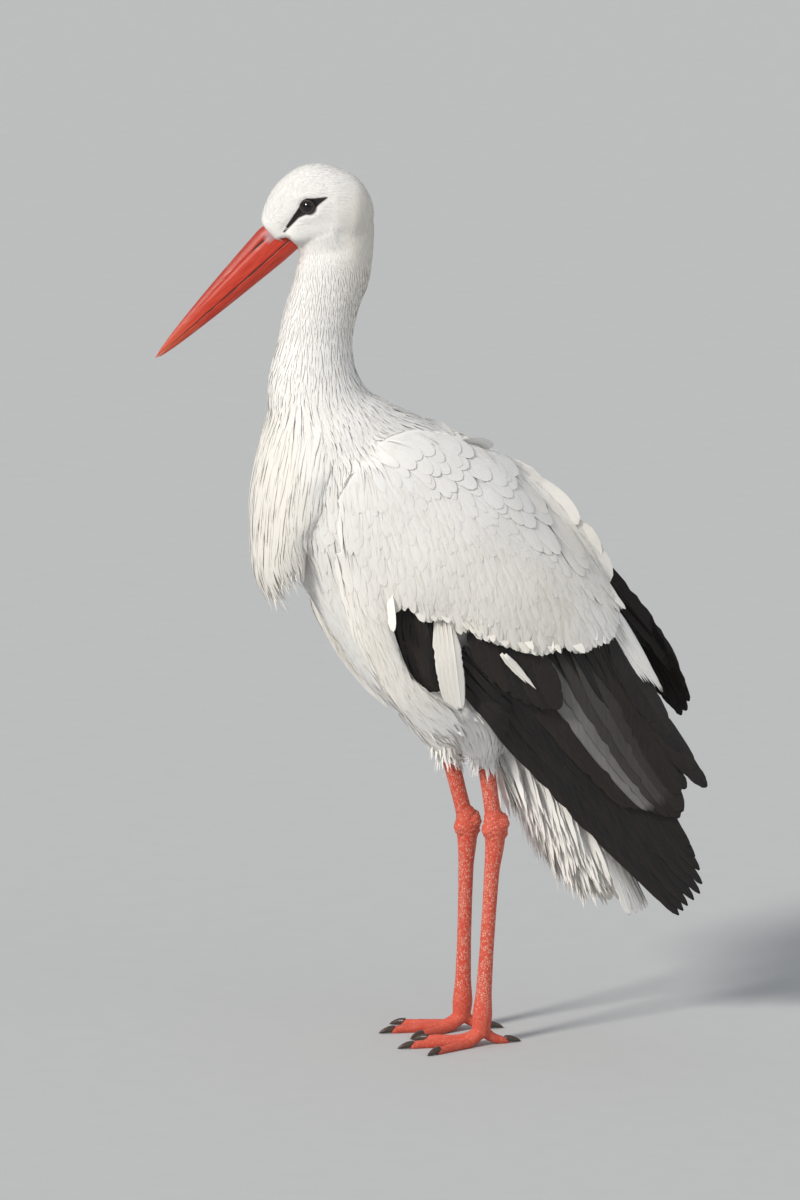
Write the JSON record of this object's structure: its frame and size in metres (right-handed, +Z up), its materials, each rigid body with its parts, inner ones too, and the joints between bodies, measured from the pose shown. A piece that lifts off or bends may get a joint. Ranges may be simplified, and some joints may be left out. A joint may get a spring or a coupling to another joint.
{
  "type": "white stork figure",
  "caption": "Life-size standing white stork: upright neck, long red bill and legs, white body, black flight feathers, one wing let down beside the body.",
  "frame": {"origin": "middle of the bounding box at floor level, between the feet", "axes": "+Z up, -X the way the body faces, -Y the bird's left side"},
  "size_m": [0.5456, 0.215, 0.8921],
  "materials": {
    "white_plumage": "matte",
    "black_plumage": "satin",
    "red_horn": "satin",
    "leg_skin": "matte",
    "claw_horn": "satin",
    "dark_eye": "gloss"
  },
  "bodies": {
    "root": {"bill_lower": "red_horn", "bill_upper": "red_horn", "breast_plumes": "white_plumage", "eye_left": "dark_eye", "eye_right": "dark_eye", "head": "white_plumage", "leg_left_claw_hind": "claw_horn", "leg_left_claw_inner": "claw_horn", "leg_left_claw_middle": "claw_horn", "leg_left_claw_outer": "claw_horn", "leg_left_tarsus": "leg_skin", "leg_left_thigh": "white_plumage", "leg_left_tibia": "leg_skin", "leg_left_toe_hind": "leg_skin", "leg_left_toe_inner": "leg_skin", "leg_left_toe_middle": "leg_skin", "leg_left_toe_outer": "leg_skin", "leg_right_claw_hind": "claw_horn", "leg_right_claw_inner": "claw_horn", "leg_right_claw_middle": "claw_horn", "leg_right_claw_outer": "claw_horn", "leg_right_tarsus": "leg_skin", "leg_right_thigh": "white_plumage", "leg_right_tibia": "leg_skin", "leg_right_toe_hind": "leg_skin", "leg_right_toe_inner": "leg_skin", "leg_right_toe_middle": "leg_skin", "leg_right_toe_outer": "leg_skin", "neck_lower": "white_plumage", "neck_upper": "white_plumage", "tail": "white_plumage", "trunk": "white_plumage", "wing_left_coverts": "white_plumage", "wing_left_flank": "white_plumage", "wing_left_hand": "white_plumage", "wing_left_primaries": "black_plumage", "wing_left_scapulars": "white_plumage", "wing_left_secondaries": "black_plumage", "wing_left_tertials": "black_plumage", "wing_left_wrist": "black_plumage", "wing_right_coverts": "white_plumage", "wing_right_flank": "white_plumage", "wing_right_hand": "white_plumage", "wing_right_primaries": "black_plumage", "wing_right_scapulars": "white_plumage", "wing_right_secondaries": "black_plumage", "wing_right_tertials": "black_plumage", "wing_right_wrist": "black_plumage"}
  },
  "joints": []
}
